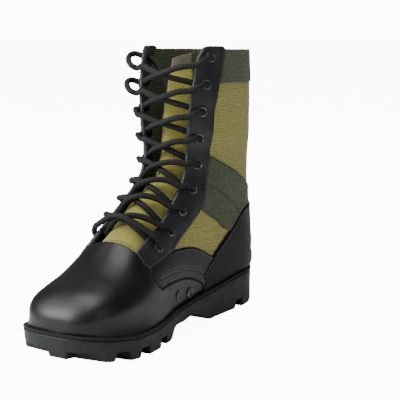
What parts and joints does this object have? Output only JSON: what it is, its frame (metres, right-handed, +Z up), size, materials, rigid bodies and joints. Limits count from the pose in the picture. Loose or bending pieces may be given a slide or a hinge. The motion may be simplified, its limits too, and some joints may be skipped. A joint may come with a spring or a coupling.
{
  "type": "jungle boot",
  "caption": "Right jungle boot with a moulded lugged sole, leather vamp, counter and foxing, canvas shaft with webbing bands, laced front and drain vents.",
  "frame": {"origin": "middle of the bottom of the boot's box, on the floor", "axes": "+Z up, -Y towards the toe, +X towards the medial (inner) side"},
  "size_m": [0.1092, 0.2892, 0.2589],
  "materials": {
    "leather": "satin black, fine grain",
    "facing_leather": "satin blue-black",
    "canvas": "coarse ribbed weave, light olive",
    "webbing": "close woven tape, dark olive",
    "rubber": "smooth grey-black",
    "welt_rubber": "fine ribs, black",
    "insole_board": "matt felted board",
    "fittings": "black paint worn on the edges",
    "lace": "round braid, black"
  },
  "bodies": {
    "root": {"outsole": "rubber", "welt": "welt_rubber", "insole": "insole_board", "upper": "canvas", "heel_counter": "leather", "collar_band": "webbing", "eyestay_medial": "facing_leather", "eyestay_lateral": "facing_leather", "foxing_medial": "leather", "foxing_lateral": "leather", "ankle_webbing_medial": "webbing", "ankle_webbing_lateral": "webbing", "tongue": "canvas", "vent_front": "fittings", "vent_rear": "fittings", "lace_bar": "lace", "lace_end": "lace", "eyelet_medial_1": "fittings", "eyelet_medial_2": "fittings", "eyelet_medial_3": "fittings", "eyelet_medial_4": "fittings", "eyelet_medial_5": "fittings", "eyelet_medial_6": "fittings", "eyelet_medial_7": "fittings", "eyelet_medial_8": "fittings", "eyelet_medial_9": "fittings", "eyelet_lateral_1": "fittings", "eyelet_lateral_2": "fittings", "eyelet_lateral_3": "fittings", "eyelet_lateral_4": "fittings", "eyelet_lateral_5": "fittings", "eyelet_lateral_6": "fittings", "eyelet_lateral_7": "fittings", "eyelet_lateral_8": "fittings", "eyelet_lateral_9": "fittings", "lace_crossing_1": "lace", "lace_crossing_2": "lace", "lace_crossing_3": "lace", "lace_crossing_4": "lace", "lace_crossing_5": "lace", "lace_crossing_6": "lace", "lace_crossing_7": "lace", "lace_crossing_8": "lace"}
  },
  "joints": []
}
